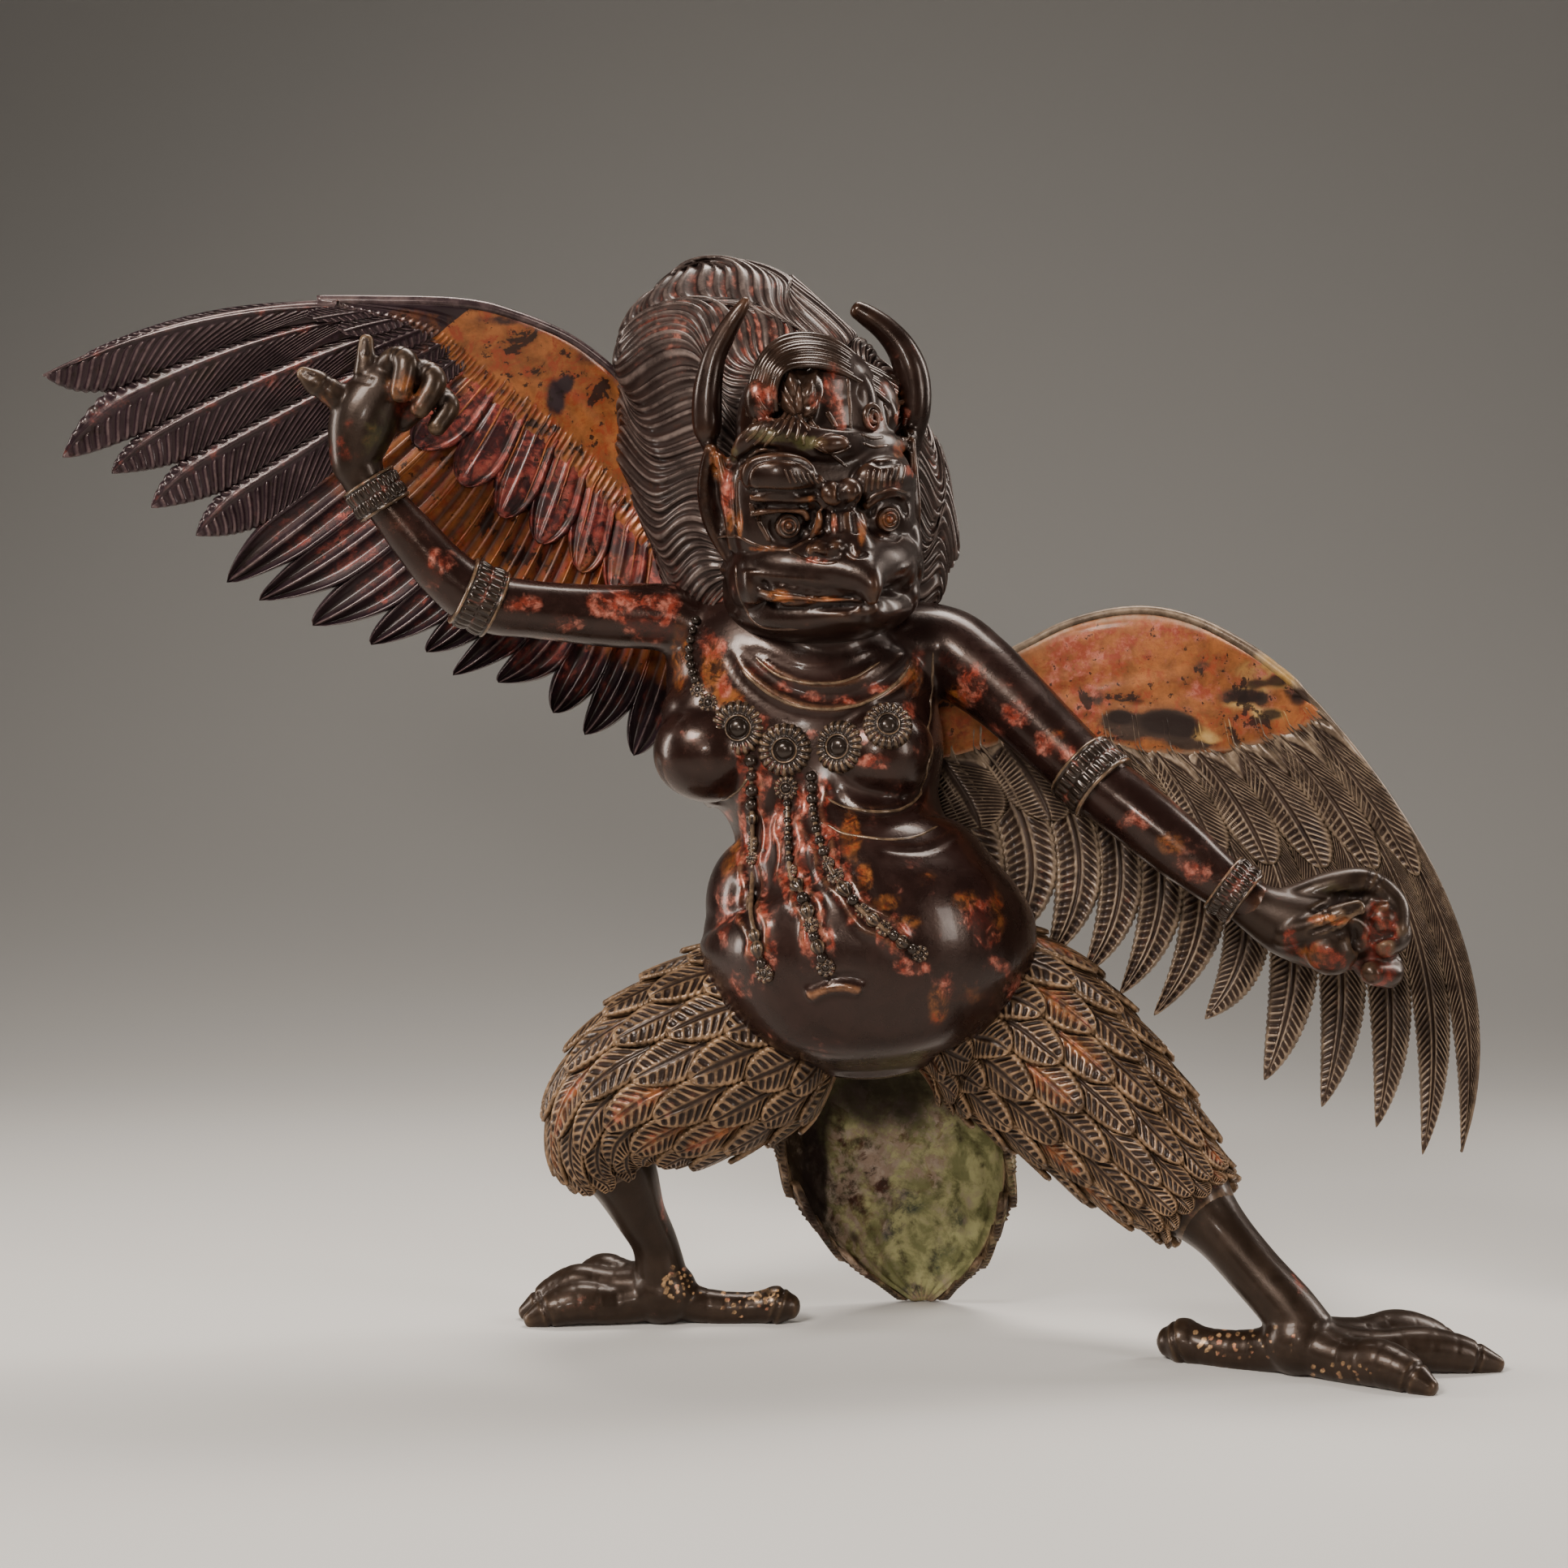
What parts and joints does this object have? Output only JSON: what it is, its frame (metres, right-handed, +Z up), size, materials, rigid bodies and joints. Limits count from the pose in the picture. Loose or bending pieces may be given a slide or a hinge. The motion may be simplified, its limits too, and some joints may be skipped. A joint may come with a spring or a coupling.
{
  "type": "garuda figure",
  "caption": "Striding cast figure of a garuda with a beaked, horned head, full mane, beaded chest, feathered thighs, bird feet, hollow tail and spread wings, in worn dark lacquer over red.",
  "frame": {"origin": "on the table, under the middle of the whole figure's outline seen from above", "axes": "+X to the viewer's right, along the span of the wings; +Y away from the viewer, to the figure's back; +Z up"},
  "size_m": [0.5597, 0.1681, 0.4252],
  "materials": {
    "lacquered_bronze": "glossy near-black lacquer over cinnabar red, worn, with ochre gilding and brown patina in the feathers and verdigris inside the tail"
  },
  "bodies": {
    "root": {"garuda_figure": "lacquered_bronze"}
  },
  "joints": []
}
